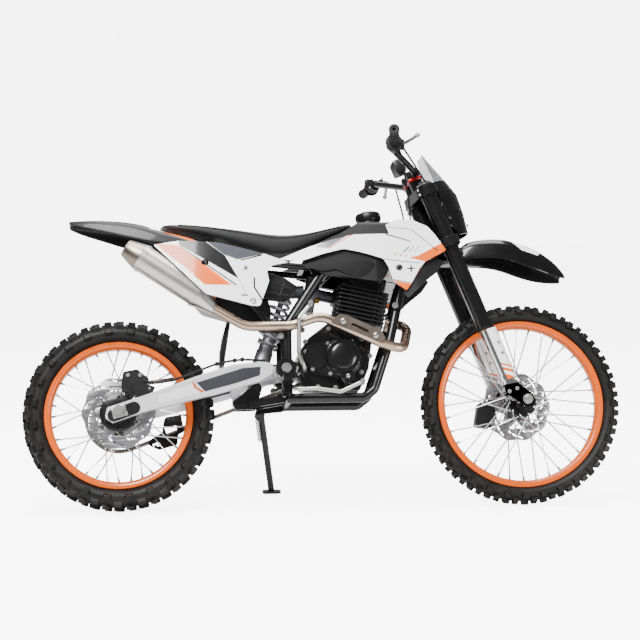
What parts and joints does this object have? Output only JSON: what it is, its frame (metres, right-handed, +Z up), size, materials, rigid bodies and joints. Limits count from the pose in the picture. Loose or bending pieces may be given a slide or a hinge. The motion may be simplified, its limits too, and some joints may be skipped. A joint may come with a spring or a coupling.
{
  "type": "off-road motorcycle",
  "caption": "Off-road motorcycle with wire wheels, knobbly tyres, telescopic fork, swingarm, single-cylinder engine and side stand, parked leaning on the stand.",
  "frame": {"origin": "on the ground, under the middle of the bounding box of the parked machine", "axes": "+X forward, +Y to the rider's left, +Z up; the machine leans 15 degrees to +Y on its side stand"},
  "size_m": [1.991, 0.8152, 1.2597],
  "materials": {
    "frame_paint": "gloss black powder coat",
    "alloy": "brushed aluminium",
    "steel": "zinc plated steel",
    "chain_steel": "oiled chain steel",
    "engine_paint": "semi gloss black engine enamel",
    "header_metal": "heat tinted steel",
    "shield_metal": "dark satin heat shield",
    "silencer_metal": "brushed stainless steel",
    "black_plastic": "satin black plastic",
    "white_plastic": "gloss white plastic with orange stripes",
    "seat_cover": "black textured seat cover",
    "tyre_rubber": "black knobbly tyre rubber",
    "rim_orange": "orange anodised aluminium",
    "hub_alloy": "black hub with steel spokes",
    "disc_steel": "ground brake disc steel",
    "fork_black": "black fork tube",
    "fork_chrome": "chromed inner fork leg",
    "grip_rubber": "soft black grip rubber",
    "lamp": "clear lamp over a grey reflector"
  },
  "bodies": {
    "frame": {"main_frame": "frame_paint", "subframe": "frame_paint", "swingarm": "alloy", "swingarm_pivot": "steel", "rear_axle": "steel", "chain": "chain_steel", "chain_guide": "black_plastic", "shock_absorber": "steel", "shock_linkage": "frame_paint", "crankcase": "engine_paint", "engine_covers": "engine_paint", "cylinder": "engine_paint", "carburettor": "black_plastic", "airbox": "black_plastic", "exhaust_header": "header_metal", "heat_shield": "shield_metal", "silencer": "silencer_metal", "fuel_tank": "black_plastic", "shroud_right": "white_plastic", "shroud_left": "white_plastic", "seat": "seat_cover", "side_panel_right": "white_plastic", "side_panel_left": "white_plastic", "rear_fender": "black_plastic", "foot_pegs": "steel", "foot_levers": "steel", "rear_caliper": "alloy", "air_scoops": "black_plastic"},
    "side_stand": {"side_stand": "frame_paint"},
    "steering": {"triple_clamps": "frame_paint", "fork_tubes": "fork_black", "fork_legs": "fork_chrome", "fork_guards": "white_plastic", "front_axle": "steel", "front_caliper": "alloy", "front_fender": "black_plastic", "front_mask": "black_plastic", "headlamp": "lamp", "handlebar": "frame_paint", "grips": "grip_rubber", "hand_controls": "alloy"},
    "front_wheel": {"front_tyre": "tyre_rubber", "front_rim": "rim_orange", "front_hub": "hub_alloy", "front_disc": "disc_steel"},
    "rear_wheel": {"rear_tyre": "tyre_rubber", "rear_rim": "rim_orange", "rear_hub": "hub_alloy", "rear_disc": "disc_steel", "rear_sprocket": "disc_steel"}
  },
  "joints": [
    {"name": "steering", "type": "hinge", "parent": "frame", "child": "steering", "pos_m": [0.36, -0.0407, 0.92307], "axis": [-0.3551, 0.242, 0.903], "range_deg": [-40, 40]},
    {"name": "front_wheel_spin", "type": "hinge", "parent": "steering", "child": "front_wheel", "pos_m": [0.6585, -0.19962, 0.32997], "axis": [0, 0.9659, -0.2588], "continuous": true},
    {"name": "rear_wheel_spin", "type": "hinge", "parent": "frame", "child": "rear_wheel", "pos_m": [-0.6815, -0.20522, 0.30906], "axis": [0, 0.9659, -0.2588], "continuous": true},
    {"name": "stand_fold", "type": "hinge", "parent": "frame", "child": "side_stand", "pos_m": [-0.2065, -0.06905, 0.29953], "axis": [0.2153, 0.8876, 0.4072], "range_deg": [0, 101.6]}
  ]
}
